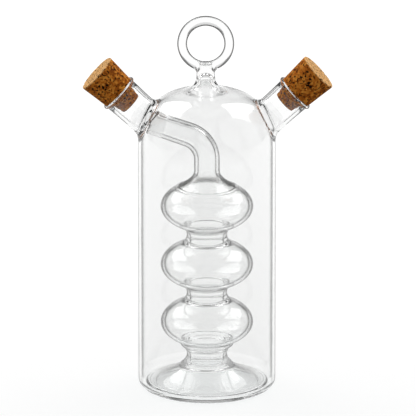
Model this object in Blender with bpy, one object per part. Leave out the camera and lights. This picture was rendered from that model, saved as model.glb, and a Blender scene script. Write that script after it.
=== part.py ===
"""Two-in-one oil and vinegar dispenser of clear borosilicate glass.

A straight outer bottle holds one liquid. An inner vessel of three flattened bulbs stands on a bell
foot inside it and holds the other. Two slanted spouts leave the shoulder: the right one opens into
the bottle, and the left one runs through an elbow tube into the bulbs. Each spout takes a tapered
cork, and a ring of glass rod on a waisted stem hangs or lifts the whole. Every glass part is its
own solid, with a narrow seam where the real parts are melted together.
Units are metres, Z is up, the spouts lie in the XZ plane, and the bottle stands on Z = 0.
"""

from math import acos, ceil, cos, hypot, pi, radians, sin, sqrt, tan

import bmesh
import bpy
from mathutils import Matrix, Vector

# Seams and running clearances
WELD_SEAM = 0.0003
CORK_CLEARANCE = 0.0003

# Outer bottle
BODY_RADIUS = 0.0375
BODY_WALL = 0.0023
SHOULDER_HEIGHT = 0.1315
DOME_RISE = 0.0353
DOME_SQUARENESS = 2.6

# Bottom of the bottle
HEEL_RADIUS = 0.005
FLOOR_THICKNESS = 0.0028
BASE_HEIGHT = 0.008
STAND_RING_WIDTH = 0.0045
RECESS_SLOPE = 0.0015
RECESS_DEPTH = 0.0006

# Inner vessel
BELL_CLEARANCE = 0.0018
BELL_RISE = 0.0077
BELL_WALL = 0.0019
FOOT_NECK_LENGTH = 0.0148
BULB_RADIUS = 0.0252
BULB_HALF_HEIGHT = 0.0139
BULB_WALL = 0.0018
NECK_LENGTH = 0.0094
NECK_RADIUS = 0.012
NECK_WALL = 0.0021
NECK_HOLLOW = 3.0
JOINT_RADIUS = 0.0145
JOINT_WALL = 0.0026

# Elbow tube from the left spout to the top bulb
ELBOW_SLOPE = radians(19)
ELBOW_SETBACK = 0.002
ELBOW_BEND_RADIUS = 0.011
ELBOW_UPPER_RADIUS = 0.0065
ELBOW_LOWER_RADIUS = 0.00745
ELBOW_WALL = 0.0019
ELBOW_FLARE = 0.009
ELBOW_FILLET = 0.005

# Spouts, measured along their axis from where it crosses the bottle's axis, below the shoulder
SPOUT_ANGLE = radians(43)
SPOUT_DROP = 0.0104
SPOUT_REACH = 0.0658
SPOUT_RADIUS = 0.0094
SPOUT_WALL = 0.0018
LIP_RADIUS = 0.0104
MOUTH_RADIUS = 0.0093
MOUTH_DEPTH = 0.0036
LIP_BEAD = 0.003
FOOT_FILLET = 0.0046
FOOT_SPREAD = 0.0027

# Corks
CORK_LENGTH = 0.0254
LEFT_CORK_PROUD = 0.0158
RIGHT_CORK_PROUD = 0.0168
CORK_TOP_RADIUS = 0.0107
CORK_SHOULDER_RADIUS = 0.0095
CORK_SHOULDER_RISE = 0.0014
CORK_TIP_RADIUS = 0.0064
CORK_EDGE = 0.0006

# Ring and its stem, above the top of the dome
RING_RADIUS = 0.0127
ROD_RADIUS = 0.0027
RING_RISE = 0.0109
STEM_FOOT_RADIUS = 0.0145
STEM_FOOT_RIM = 0.0005
STEM_FOOT_HOLLOW = 4.0
STEM_WAIST_RADIUS = 0.0051
STEM_WAIST_RISE = 0.0088
STEM_TOP_RADIUS = 0.0059
STEM_TOP_EDGE = 0.0006
SADDLE_DEPTH = 0.0024

# Facets
BODY_SIDES = 48
DOME_STEPS = 7
HEEL_STEPS = 4
BULB_SIDES = 32
BULB_STEPS = 6
NECK_STEPS = 4
SPOUT_SIDES = 24
SPOUT_STEPS = 3
ELBOW_SIDES = 16
ELBOW_STEP = 0.0038
CORK_SIDES = 24
RING_SIDES = 32
ROD_SIDES = 10
STEM_SIDES = 24
STEM_STEPS = 5
MERGE_DISTANCE = 1e-7
SMOOTH_ANGLE = radians(35)

# What follows from the sizes above
DOME_TOP = SHOULDER_HEIGHT + DOME_RISE
BELL_RADIUS = BODY_RADIUS - BODY_WALL - BELL_CLEARANCE
SPOUT_CROSSING = SHOULDER_HEIGHT - SPOUT_DROP
RING_CENTRE_HEIGHT = DOME_TOP + RING_RISE + ROD_RADIUS + RING_RADIUS

GLASS_COLOUR = (0.9, 0.93, 0.93, 1.0)
CORK_COLOUR = (0.47, 0.24, 0.10, 1.0)
IN_PLACE = Matrix.Identity(4)


def clear_scene():
    for obj in list(bpy.data.objects):
        bpy.data.objects.remove(obj, do_unlink=True)


def principled(name, colour, roughness):
    material = bpy.data.materials.new(name)
    material.use_nodes = True
    shader = material.node_tree.nodes["Principled BSDF"]
    shader.inputs["Base Color"].default_value = colour
    shader.inputs["Roughness"].default_value = roughness
    shader.inputs["Metallic"].default_value = 0.0
    return material, shader


def clear_glass(name):
    """Borosilicate glass, melted smooth."""
    material, shader = principled(name + "_glass", GLASS_COLOUR, 0.02)
    shader.inputs["IOR"].default_value = 1.47
    shader.inputs["Transmission Weight"].default_value = 1.0
    return material


def pressed_cork(name):
    """Pressed cork granules, dry and matt."""
    return principled(name + "_granules", CORK_COLOUR, 0.85)[0]


def finished(name, bm, material, place):
    """Makes a bmesh a named object with its own material, shaded smooth between its sharp edges."""
    bmesh.ops.remove_doubles(bm, verts=bm.verts, dist=MERGE_DISTANCE)
    bmesh.ops.recalc_face_normals(bm, faces=bm.faces)
    mesh = bpy.data.meshes.new(name)
    bm.to_mesh(mesh)
    bm.free()
    mesh.shade_smooth()
    mesh.set_sharp_from_angle(angle=SMOOTH_ANGLE)
    mesh.materials.append(material)
    obj = bpy.data.objects.new(name, mesh)
    obj.matrix_world = place
    bpy.context.scene.collection.objects.link(obj)
    return obj


def turned(name, outline, sides, material, place=IN_PLACE):
    """Spins an outline of (radius, height) points about Z. Off the axis, the outline is a closed loop."""
    bm = bmesh.new()
    verts = [bm.verts.new((radius, 0, height)) for radius, height in outline]
    edges = [bm.edges.new(pair) for pair in zip(verts, verts[1:])]
    if outline[0][0] > 0:
        edges.append(bm.edges.new((verts[-1], verts[0])))
    whole_turn = {"angle": 2 * pi, "steps": sides, "use_merge": True}
    bmesh.ops.spin(bm, geom=verts + edges, cent=(0, 0, 0), axis=(0, 0, 1), **whole_turn)
    return finished(name, bm, material, place)


def swept_tube(name, path, skins, material):
    """Sweeps a tube along a path in the XZ plane. Its skins are the outer and inner radii at each point."""
    bm = bmesh.new()
    turns = [2 * pi * k / ELBOW_SIDES for k in range(ELBOW_SIDES)]
    walls = []
    for radii in skins:
        rings = []
        for i, centre in enumerate(path):
            ahead = path[min(i + 1, len(path) - 1)] - path[max(i - 1, 0)]
            across = Vector((ahead.z, 0, -ahead.x)).normalized()
            spokes = [across * cos(turn) + Vector((0, sin(turn), 0)) for turn in turns]
            rings.append([bm.verts.new(centre + spoke * radii[i]) for spoke in spokes])
        walls.append(rings)
    loop = walls[0] + walls[1][::-1]
    for here, after in zip(loop, loop[1:] + loop[:1]):
        for k in range(ELBOW_SIDES):
            bm.faces.new((here[k - 1], here[k], after[k], after[k - 1]))
    return finished(name, bm, material, IN_PLACE)


def trim(obj, cutter, operation):
    """Cuts an object by a guide solid, which isn't part of the model."""
    cutter.hide_render = True
    cutter.display_type = "WIRE"
    boolean = obj.modifiers.new(cutter.name, "BOOLEAN")
    boolean.operation = operation
    boolean.solver = "EXACT"
    boolean.object = cutter


def spread(count):
    """Evenly spaced shares from 0 to 1."""
    return [i / count for i in range(count + 1)]


def arc(centre, radii, start, end, steps):
    """Points of an elliptic arc in (radius, height), from one angle to another."""
    angles = [start + (end - start) * share for share in spread(steps)]
    return [(centre[0] + radii[0] * cos(a), centre[1] + radii[1] * sin(a)) for a in angles]


def dome_outline(offset):
    """The dome's meridian from its top down to the shoulder, offset from the outer face."""
    radius = BODY_RADIUS + offset
    rise = DOME_RISE + offset
    power = 2 / DOME_SQUARENESS
    points = [(0.0, SHOULDER_HEIGHT + rise)]
    for share in spread(DOME_STEPS)[1:-1]:
        angle = pi / 2 * (1 - share)
        points.append((radius * cos(angle) ** power, SHOULDER_HEIGHT + rise * sin(angle) ** power))
    return points + [(radius, SHOULDER_HEIGHT)]


def dome_seat(radius):
    """The top of the dome from its axis out to a radius, one seam above its outer face."""
    seat = [point for point in dome_outline(WELD_SEAM) if point[0] < radius]
    share = 1 - (radius / BODY_RADIUS) ** DOME_SQUARENESS
    edge = SHOULDER_HEIGHT + DOME_RISE * share ** (1 / DOME_SQUARENESS) + WELD_SEAM
    return seat + [(radius, edge)]


def bottle_shape(name, offset):
    """A guide solid: the bottle's outer face moved out or in, and filled."""
    outline = dome_outline(offset) + [(BODY_RADIUS + offset, BASE_HEIGHT), (0.0, BASE_HEIGHT)]
    return turned(name, outline, BODY_SIDES, clear_glass(name))


def spout_frame(side):
    """A spout's own axes: Z runs out along the spout from where it crosses the bottle's axis."""
    lean = side * (pi / 2 - SPOUT_ANGLE)
    return Matrix.Translation((0, 0, SPOUT_CROSSING)) @ Matrix.Rotation(lean, 4, "Y")


def reach_to_dome(offset, above=0.0, beside=0.0):
    """How far along a spout the dome's offset face lies, on a line above or beside the spout's axis."""
    near, far = 0.0, SPOUT_REACH
    while far - near > MERGE_DISTANCE:
        middle = (near + far) / 2
        radius = hypot(middle * cos(SPOUT_ANGLE) - above * sin(SPOUT_ANGLE), beside)
        height = SPOUT_CROSSING + middle * sin(SPOUT_ANGLE) + above * cos(SPOUT_ANGLE)
        climb = max(height - SHOULDER_HEIGHT, 0.0) / (DOME_RISE + offset)
        if (radius / (BODY_RADIUS + offset)) ** DOME_SQUARENESS + climb**DOME_SQUARENESS < 1:
            near = middle
        else:
            far = middle
    return near


def mouth_radius(depth):
    """A spout's inner radius at a depth below its lip: a flared mouth that narrows to the bore."""
    bore = SPOUT_RADIUS - SPOUT_WALL
    return bore + (MOUTH_RADIUS - bore) * (1 - min(depth / MOUTH_DEPTH, 1.0)) ** 2


def make_outer_body():
    """The bottle's wall and dome, open at the bottom, with a round hole under each spout."""
    inside = BODY_RADIUS - BODY_WALL
    foot = BASE_HEIGHT + WELD_SEAM
    outer = dome_outline(0.0) + [(BODY_RADIUS, foot)]
    inner = dome_outline(-BODY_WALL) + [(inside, foot)]
    body = turned("outer_body", outer + inner[::-1], BODY_SIDES, clear_glass("outer_body"))
    bore = SPOUT_RADIUS - SPOUT_WALL
    near = reach_to_dome(-BODY_WALL) / 2
    hole = [(0.0, SPOUT_REACH), (bore, SPOUT_REACH), (bore, near), (0.0, near)]
    for side, name in ((-1, "left_hole"), (1, "right_hole")):
        trim(body, turned(name, hole, SPOUT_SIDES, clear_glass(name), spout_frame(side)), "DIFFERENCE")


def make_base():
    """The thick bottom: a rounded heel, a flat ring to stand on and a shallow recess inside the ring."""
    inside = BODY_RADIUS - BODY_WALL
    heel = BODY_RADIUS - HEEL_RADIUS
    recess = heel - STAND_RING_WIDTH
    corner = (BELL_RADIUS, FLOOR_THICKNESS + BELL_CLEARANCE)
    outline = [(0.0, FLOOR_THICKNESS)]
    outline += arc(corner, (BELL_CLEARANCE, BELL_CLEARANCE), -pi / 2, 0, HEEL_STEPS)
    outline += [(inside, BASE_HEIGHT), (BODY_RADIUS, BASE_HEIGHT)]
    outline += arc((heel, HEEL_RADIUS), (HEEL_RADIUS, HEEL_RADIUS), 0, -pi / 2, HEEL_STEPS)
    outline += [(recess, 0.0), (recess - RECESS_SLOPE, RECESS_DEPTH), (0.0, RECESS_DEPTH)]
    turned("base", outline, BODY_SIDES, clear_glass("base"))


def shoulder_rise(radius, rise):
    """How far above its widest circle a bulb or bell is as narrow as the ring that joins it to a neck."""
    return rise * sqrt(1 - (JOINT_RADIUS / radius) ** 2)


def make_bell_foot(floor):
    """The wide bell that the inner vessel stands on, open below to the bottle's floor."""
    throat = JOINT_RADIUS - JOINT_WALL
    inner_radius = BELL_RADIUS - BELL_WALL
    inner_rise = BELL_RISE - BELL_WALL
    top = shoulder_rise(BELL_RADIUS, BELL_RISE)
    outline = arc((0, 0), (BELL_RADIUS, BELL_RISE), acos(JOINT_RADIUS / BELL_RADIUS), 0, BULB_STEPS)
    outline += arc((0, 0), (inner_radius, inner_rise), 0, acos(throat / inner_radius), BULB_STEPS)
    outline += [(throat, top)]
    place = Matrix.Translation((0, 0, floor))
    turned("bell_foot", outline, BULB_SIDES, clear_glass("bell_foot"), place)
    return floor + top


def make_bulb(name, centre):
    """A blown bulb, flattened like a turnip, open at the ring above and the ring below."""
    throat = JOINT_RADIUS - JOINT_WALL
    inner_radius = BULB_RADIUS - BULB_WALL
    inner_rise = BULB_HALF_HEIGHT - BULB_WALL
    end = shoulder_rise(BULB_RADIUS, BULB_HALF_HEIGHT)
    outer_turn = acos(JOINT_RADIUS / BULB_RADIUS)
    inner_turn = acos(throat / inner_radius)
    outline = arc((0, 0), (BULB_RADIUS, BULB_HALF_HEIGHT), outer_turn, -outer_turn, BULB_STEPS)
    outline += [(throat, -end)]
    outline += arc((0, 0), (inner_radius, inner_rise), -inner_turn, inner_turn, BULB_STEPS)
    outline += [(throat, end)]
    turned(name, outline, BULB_SIDES, clear_glass(name), Matrix.Translation((0, 0, centre)))


def make_neck(name, bottom, length):
    """A short waisted tube between two bulbs, as wide at its ends as the bulbs' rings."""
    throat = JOINT_RADIUS - JOINT_WALL
    bore = NECK_RADIUS - NECK_WALL
    outer, inner = [], []
    for share in spread(NECK_STEPS):
        flare = abs(1 - 2 * share) ** NECK_HOLLOW
        outer.append((NECK_RADIUS + (JOINT_RADIUS - NECK_RADIUS) * flare, length * share))
        inner.append((bore + (throat - bore) * flare, length * share))
    outline = outer[::-1] + inner
    turned(name, outline, BULB_SIDES, clear_glass(name), Matrix.Translation((0, 0, bottom)))


def make_inner_vessel():
    """Stacks the bell foot, then a neck and a bulb in turn, and returns the height of the top ring."""
    top = make_bell_foot(FLOOR_THICKNESS + WELD_SEAM)
    half_bulb = shoulder_rise(BULB_RADIUS, BULB_HALF_HEIGHT)
    necks = (("lower_neck", FOOT_NECK_LENGTH), ("middle_neck", NECK_LENGTH), ("upper_neck", NECK_LENGTH))
    for bulb, (neck, length) in zip(("lower_bulb", "middle_bulb", "upper_bulb"), necks):
        make_neck(neck, top + WELD_SEAM, length)
        centre = top + WELD_SEAM + length + WELD_SEAM + half_bulb
        make_bulb(bulb, centre)
        top = centre + half_bulb
    return top


def elbow_path(bottom):
    """From the left spout's axis just outside the dome, down the slope, round the bend, to the bulb."""
    kink_reach = reach_to_dome(-BODY_WALL) - ELBOW_SETBACK
    start_reach = reach_to_dome(0.0) + BODY_WALL
    outward = Vector((-cos(SPOUT_ANGLE), 0, sin(SPOUT_ANGLE)))
    crossing = Vector((0, 0, SPOUT_CROSSING))
    start = crossing + outward * start_reach
    kink = crossing + outward * kink_reach
    slope = Vector((cos(ELBOW_SLOPE), 0, -sin(ELBOW_SLOPE)))
    corner = kink + slope * (-kink.x / slope.x)
    sweep = pi / 2 - ELBOW_SLOPE
    setback = ELBOW_BEND_RADIUS * tan(sweep / 2)
    bend_centre = Vector((-ELBOW_BEND_RADIUS, 0, corner.z - setback))
    bend = []
    for share in spread(ceil(ELBOW_BEND_RADIUS * sweep / ELBOW_STEP)):
        turn = ELBOW_SLOPE + sweep * share
        bend.append(bend_centre + ELBOW_BEND_RADIUS * Vector((sin(turn), 0, cos(turn))))
    path = [start, start.lerp(kink, 0.5)]
    path += straight_run(kink, bend[0])[1:-1]
    path += bend
    path += straight_run(bend[-1], Vector((0, 0, bottom)))[1:]
    return path


def straight_run(start, end):
    return [start.lerp(end, share) for share in spread(ceil((end - start).length / ELBOW_STEP))]


def make_elbow_tube(top_ring):
    """The bent tube that carries the left spout's liquid across the bottle and into the top bulb."""
    bottom = top_ring + WELD_SEAM
    path = elbow_path(bottom)
    lengths = [0.0]
    for here, after in zip(path, path[1:]):
        lengths.append(lengths[-1] + (after - here).length)
    weld = reach_to_dome(0.0) + BODY_WALL - reach_to_dome(-BODY_WALL)
    bore_foot = JOINT_RADIUS - JOINT_WALL
    outer, inner = [], []
    for point, length in zip(path, lengths):
        share = length / lengths[-1]
        tube = ELBOW_UPPER_RADIUS + (ELBOW_LOWER_RADIUS - ELBOW_UPPER_RADIUS) * share
        bore = tube - ELBOW_WALL
        at_spout = max(1 - max(length - weld, 0.0) / ELBOW_FILLET, 0.0) ** 2
        at_bulb = max(1 - (point.z - bottom) / ELBOW_FLARE, 0.0) ** NECK_HOLLOW
        outer.append(tube + (SPOUT_RADIUS - tube) * at_spout + (JOINT_RADIUS - tube) * at_bulb)
        inner.append(bore + (SPOUT_RADIUS - SPOUT_WALL - bore) * at_spout + (bore_foot - bore) * at_bulb)
    tube = swept_tube("elbow_tube", path, (outer, inner), clear_glass("elbow_tube"))
    trim(tube, bottle_shape("bottle_hollow", -BODY_WALL - WELD_SEAM), "INTERSECT")


def seat_on_dome(spout, side, fillet_top):
    """Bends a turned spout's foot to the dome: each point of it moves as far as the dome does there."""
    level = reach_to_dome(WELD_SEAM)
    for vertex in spout.data.vertices:
        share = (fillet_top - vertex.co.z) / (fillet_top - level)
        if share > 0:
            local = reach_to_dome(WELD_SEAM, -side * vertex.co.x, vertex.co.y)
            vertex.co.z += (local - level) * share


def make_spouts():
    """Two turned tubes with a fire-polished lip. Their flared feet are bent to the dome they sit on."""
    bore = SPOUT_RADIUS - SPOUT_WALL
    bead = LIP_RADIUS - MOUTH_RADIUS
    foot = reach_to_dome(WELD_SEAM)
    outline = arc((MOUTH_RADIUS, SPOUT_REACH - bead), (bead, bead), pi / 2, 0, SPOUT_STEPS)
    for share in spread(SPOUT_STEPS)[1:]:
        narrowing = (1 - cos(pi * share)) / 2
        radius = LIP_RADIUS + (SPOUT_RADIUS - LIP_RADIUS) * narrowing
        outline.append((radius, SPOUT_REACH - bead - LIP_BEAD * share))
    for share in spread(SPOUT_STEPS):
        outline.append((SPOUT_RADIUS + FOOT_SPREAD * share**2, foot + FOOT_FILLET * (1 - share)))
    outline.append((bore, foot))
    for share in spread(SPOUT_STEPS)[:-1]:
        depth = MOUTH_DEPTH * (1 - share)
        outline.append((mouth_radius(depth), SPOUT_REACH - depth))
    for side, name in ((-1, "left_spout"), (1, "right_spout")):
        spout = turned(name, outline, SPOUT_SIDES, clear_glass(name), spout_frame(side))
        seat_on_dome(spout, side, foot + FOOT_FILLET)


def make_cork(name, side, proud):
    """A tapered stopper, squeezed where it passes the mouth. Its origin is on the spout's axis."""
    seated = CORK_LENGTH - proud
    outline = [(0.0, CORK_LENGTH), (CORK_TOP_RADIUS - CORK_EDGE, CORK_LENGTH)]
    outline += [(CORK_TOP_RADIUS, CORK_LENGTH - CORK_EDGE)]
    outline += [(CORK_SHOULDER_RADIUS, seated + CORK_SHOULDER_RISE)]
    for share in spread(SPOUT_STEPS):
        depth = MOUTH_DEPTH * share
        outline.append((mouth_radius(depth) - CORK_CLEARANCE, seated - depth))
    outline += [(CORK_TIP_RADIUS, CORK_EDGE), (CORK_TIP_RADIUS - CORK_EDGE, 0.0), (0.0, 0.0)]
    place = spout_frame(side) @ Matrix.Translation((0, 0, SPOUT_REACH - seated))
    turned(name, outline, CORK_SIDES, pressed_cork(name), place)


def make_hanging_ring():
    """A full ring of solid rod that stands in the spouts' plane, and the stem that carries it."""
    upright = Matrix.Translation((0, 0, RING_CENTRE_HEIGHT)) @ Matrix.Rotation(pi / 2, 4, "X")
    rod = arc((RING_RADIUS, 0), (ROD_RADIUS, ROD_RADIUS), 0, 2 * pi, ROD_SIDES)[:-1]
    turned("hanging_ring", rod, RING_SIDES, clear_glass("hanging_ring"), upright)
    top = RING_CENTRE_HEIGHT - RING_RADIUS - ROD_RADIUS + SADDLE_DEPTH
    seat = dome_seat(STEM_FOOT_RADIUS)
    waist = DOME_TOP + STEM_WAIST_RISE
    drop = waist - (seat[-1][1] + STEM_FOOT_RIM)
    outline = [(0.0, top), (STEM_TOP_RADIUS - STEM_TOP_EDGE, top), (STEM_TOP_RADIUS, top - STEM_TOP_EDGE)]
    for share in spread(STEM_STEPS):
        flare = (STEM_FOOT_RADIUS - STEM_WAIST_RADIUS) * share**STEM_FOOT_HOLLOW
        outline.append((STEM_WAIST_RADIUS + flare, waist - drop * share))
    stem = turned("ring_stem", outline + seat[::-1], STEM_SIDES, clear_glass("ring_stem"))
    groove = arc((RING_RADIUS, 0), (ROD_RADIUS + WELD_SEAM,) * 2, 0, 2 * pi, ROD_SIDES)[:-1]
    trim(stem, turned("saddle", groove, RING_SIDES, clear_glass("saddle"), upright), "DIFFERENCE")


clear_scene()
make_base()
make_outer_body()
make_elbow_tube(make_inner_vessel())
make_spouts()
make_cork("left_cork", -1, LEFT_CORK_PROUD)
make_cork("right_cork", 1, RIGHT_CORK_PROUD)
make_hanging_ring()
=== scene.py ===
"""Looks of the two-in-one oil and vinegar dispenser: clear blown glass with two corks.

The pieces are made in the order in which a lampworker builds the bottle. Neighbours meet at a flat
melted joint that light passes as if it weren't there, so the glass reads as one piece.
Lengths are in metres, Z is up, and the spouts lie in the XZ plane.
"""

from math import cos, pi, radians, sin

import bpy
import numpy as np
from mathutils import Matrix, Vector


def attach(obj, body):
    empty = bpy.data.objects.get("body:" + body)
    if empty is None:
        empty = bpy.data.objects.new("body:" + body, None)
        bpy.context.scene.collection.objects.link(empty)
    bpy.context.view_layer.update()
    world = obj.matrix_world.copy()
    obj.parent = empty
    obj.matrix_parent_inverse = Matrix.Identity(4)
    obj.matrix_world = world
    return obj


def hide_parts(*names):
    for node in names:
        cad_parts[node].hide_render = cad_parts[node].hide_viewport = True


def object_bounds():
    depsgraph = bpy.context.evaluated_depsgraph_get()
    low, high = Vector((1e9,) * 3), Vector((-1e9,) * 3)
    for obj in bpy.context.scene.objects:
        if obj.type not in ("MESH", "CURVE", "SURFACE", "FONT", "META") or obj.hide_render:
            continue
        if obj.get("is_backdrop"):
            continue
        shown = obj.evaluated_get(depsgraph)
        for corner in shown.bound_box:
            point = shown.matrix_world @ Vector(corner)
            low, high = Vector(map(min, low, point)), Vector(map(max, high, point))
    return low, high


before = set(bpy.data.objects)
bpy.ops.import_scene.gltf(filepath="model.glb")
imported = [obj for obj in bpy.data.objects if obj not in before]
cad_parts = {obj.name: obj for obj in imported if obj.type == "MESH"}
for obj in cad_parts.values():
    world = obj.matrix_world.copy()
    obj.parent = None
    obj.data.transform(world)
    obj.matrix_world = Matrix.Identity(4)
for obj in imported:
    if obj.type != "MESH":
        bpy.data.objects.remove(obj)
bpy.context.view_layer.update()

# ---- The bottom of the bottle ------------------------------------------------------------------
# A thick pressed-down floor of clear borosilicate glass with a rounded heel, a narrow ring that it
# stands on and a shallow recess inside that ring. It is melted to the straight wall all round.

MM = 0.001
UP = np.array([0.0, 0.0, 1.0])
BODY_RADIUS = 37.5 * MM
BODY_WALL = 1.65 * MM
BODY_SIDES = 288
BOTTOM_JOINT = 8.15 * MM
HEEL_RADIUS = 5.0 * MM
HEEL_TOP = 6.5 * MM
UNDERSIDE_MM = (
    (0, 0.62), (13, 0.62), (24.5, 0.6), (26.6, 0.55), (27.6, 0.1), (28.6, 0), (30.5, 0),
)
FLOOR_MM = ((35.0, 3.3), (33.6, 2.8), (31, 2.8), (20, 2.86), (9, 2.95), (0, 2.95))
GLASS_IOR = 1.473
GLASS_CLEAR = 0.99
LAMP_LIGHT_THROUGH = (0.93, 0.945, 0.945, 1)
STREAK_SIZE = 0.02
STREAK_TINTS = ((-0.012, -0.009, -0.011), (0.004, 0.006, 0.005))
WAVE_SIZE, WAVE_HEIGHT = 0.012, 0.00002
# Greys of the shade painted into the glass where it is seen edge-on, and where that shade fades.
PAINTED_EDGE_GREYS = ((1, 1, 1), (0.86, 0.86, 0.86), (0.32, 0.32, 0.315), (0.03, 0.03, 0.028))
UPRIGHT_UNDER = 0.2
SKIN_FADE, SKIN_SHARE = 0.0003, 0.6
FOOT_SHARE = 0.22
SAME_PLACE = 1e-9


def joined(tree, operation, a, b):
    """Two values put together by one sum."""
    node = tree.nodes.new("ShaderNodeMath")
    node.operation = operation
    tree.links.new(a, node.inputs[0])
    tree.links.new(b, node.inputs[1])
    return node.outputs[0]


def spread(tree, value, start, end, low, high, smooth=False):
    """A value mapped from one span to another, and held at the ends."""
    node = tree.nodes.new("ShaderNodeMapRange")
    if smooth:
        node.interpolation_type = "SMOOTHSTEP"
    node.inputs["From Min"].default_value = start
    node.inputs["From Max"].default_value = end
    node.inputs["To Min"].default_value = low
    node.inputs["To Max"].default_value = high
    tree.links.new(value, node.inputs["Value"])
    return node.outputs["Result"]


def shaded(tree, value, stops):
    """A colour for each value, through stops of (value, colour)."""
    node = tree.nodes.new("ShaderNodeValToRGB")
    tree.links.new(value, node.inputs["Fac"])
    for element, (at, colour) in zip(node.color_ramp.elements, (stops[0], stops[-1])):
        element.position, element.color = at, (*colour, 1)
    for at, colour in stops[1:-1]:
        node.color_ramp.elements.new(at).color = (*colour, 1)
    return node.outputs["Color"]


def darkened(tree, a, b):
    """One colour darkened by another."""
    node = tree.nodes.new("ShaderNodeMix")
    node.data_type, node.blend_type = "RGBA", "MULTIPLY"
    node.inputs["Factor"].default_value = 1.0
    tree.links.new(a, node.inputs["A"])
    tree.links.new(b, node.inputs["B"])
    return node.outputs["Result"]


def cloudy(tree, place, size, detail):
    """Soft patches of about one size."""
    node = tree.nodes.new("ShaderNodeTexNoise")
    node.inputs["Scale"].default_value = 1 / size
    node.inputs["Detail"].default_value = detail
    tree.links.new(place.outputs["Object"], node.inputs["Vector"])
    return node.outputs["Fac"]


def ruffled(tree, height, strength, distance):
    """The surface's normal, turned by small heights."""
    node = tree.nodes.new("ShaderNodeBump")
    node.inputs["Strength"].default_value = strength
    node.inputs["Distance"].default_value = distance
    tree.links.new(height, node.inputs["Height"])
    return node.outputs["Normal"]


def for_rays(tree, *kinds):
    """One for the named kinds of ray, and nothing for the others."""
    rays = tree.nodes.new("ShaderNodeLightPath")
    chosen = rays.outputs[kinds[0]]
    for kind in kinds[1:]:
        chosen = joined(tree, "MAXIMUM", chosen, rays.outputs[kind])
    return chosen


def clear_glass(name, rim, top, clear=GLASS_CLEAR, wave_size=WAVE_SIZE, foot=None, skin=None):
    """Colourless glass with faint drawing streaks and the slow waves of a hand-worked surface.

    Its colour greys where it is seen edge-on, as painted shade in place of the dark edges that
    refraction brings in from the surroundings: rim gives the steps, and top the share left on
    level faces. The painted shade fades below foot, a span of heights, and outside skin, a radius.
    """
    material = bpy.data.materials.new(name)
    material.use_nodes = True
    tree = material.node_tree
    tree.nodes.clear()
    new, link = tree.nodes.new, tree.links.new
    place = new("ShaderNodeTexCoord")
    streaks = cloudy(tree, place, STREAK_SIZE, 2.0)
    tints = [[clear + shift for shift in tint] for tint in STREAK_TINTS]
    tint = shaded(tree, streaks, list(enumerate(tints)))
    upright = new("ShaderNodeSeparateXYZ")
    link(place.outputs["Normal"], upright.inputs[0])
    level = new("ShaderNodeMath")
    level.operation = "ABSOLUTE"
    link(upright.outputs["Z"], level.inputs[0])
    # Painted shade: the colour greys with the Fresnel factor at grazing view, less on level faces.
    edge_on = new("ShaderNodeFresnel")
    edge_on.inputs["IOR"].default_value = GLASS_IOR
    share = spread(tree, level.outputs[0], UPRIGHT_UNDER, 1.0, 1.0, top)
    painted_shade = joined(tree, "MULTIPLY", edge_on.outputs["Fac"], share)
    if skin:
        sideways = new("ShaderNodeVectorMath")
        sideways.operation = "MULTIPLY"
        sideways.inputs[1].default_value = (1, 1, 0)
        link(place.outputs["Object"], sideways.inputs[0])
        radius = new("ShaderNodeVectorMath")
        radius.operation = "LENGTH"
        link(sideways.outputs[0], radius.inputs[0])
        span = (skin - SKIN_FADE, skin + SKIN_FADE)
        share = spread(tree, radius.outputs["Value"], *span, 1.0, SKIN_SHARE)
        painted_shade = joined(tree, "MULTIPLY", painted_shade, share)
    if foot:
        height = new("ShaderNodeSeparateXYZ")
        link(place.outputs["Object"], height.inputs[0])
        share = spread(tree, height.outputs["Z"], *foot, FOOT_SHARE, 1.0)
        painted_shade = joined(tree, "MULTIPLY", painted_shade, share)
    # Steps of grey for the painted edge shade.
    edges = shaded(tree, painted_shade, list(zip(rim, PAINTED_EDGE_GREYS)))
    waves = cloudy(tree, place, wave_size, 1.0)
    glass = new("ShaderNodeBsdfPrincipled")
    glass.inputs["Roughness"].default_value = 0.0
    glass.inputs["IOR"].default_value = GLASS_IOR
    glass.inputs["Transmission Weight"].default_value = 1.0
    link(darkened(tree, tint, edges), glass.inputs["Base Color"])
    link(ruffled(tree, waves, 1.0, WAVE_HEIGHT), glass.inputs["Normal"])
    lamp_light = new("ShaderNodeBsdfTransparent")
    lamp_light.inputs["Color"].default_value = LAMP_LIGHT_THROUGH
    mix = new("ShaderNodeMixShader")
    link(for_rays(tree, "Is Shadow Ray", "Is Diffuse Ray"), mix.inputs["Fac"])
    link(glass.outputs["BSDF"], mix.inputs[1])
    link(lamp_light.outputs["BSDF"], mix.inputs[2])
    out = new("ShaderNodeOutputMaterial")
    link(mix.outputs["Shader"], out.inputs["Surface"])
    return material


def melted_joint():
    """The inside of a melted joint, where glass meets glass and nothing shows."""
    material = bpy.data.materials.new("melted_joint")
    material.use_nodes = True
    shader = material.node_tree.nodes["Principled BSDF"]
    shader.inputs["Alpha"].default_value = 0.0
    shader.inputs["IOR"].default_value = 1.0
    return material


JOINT = melted_joint()


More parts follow.
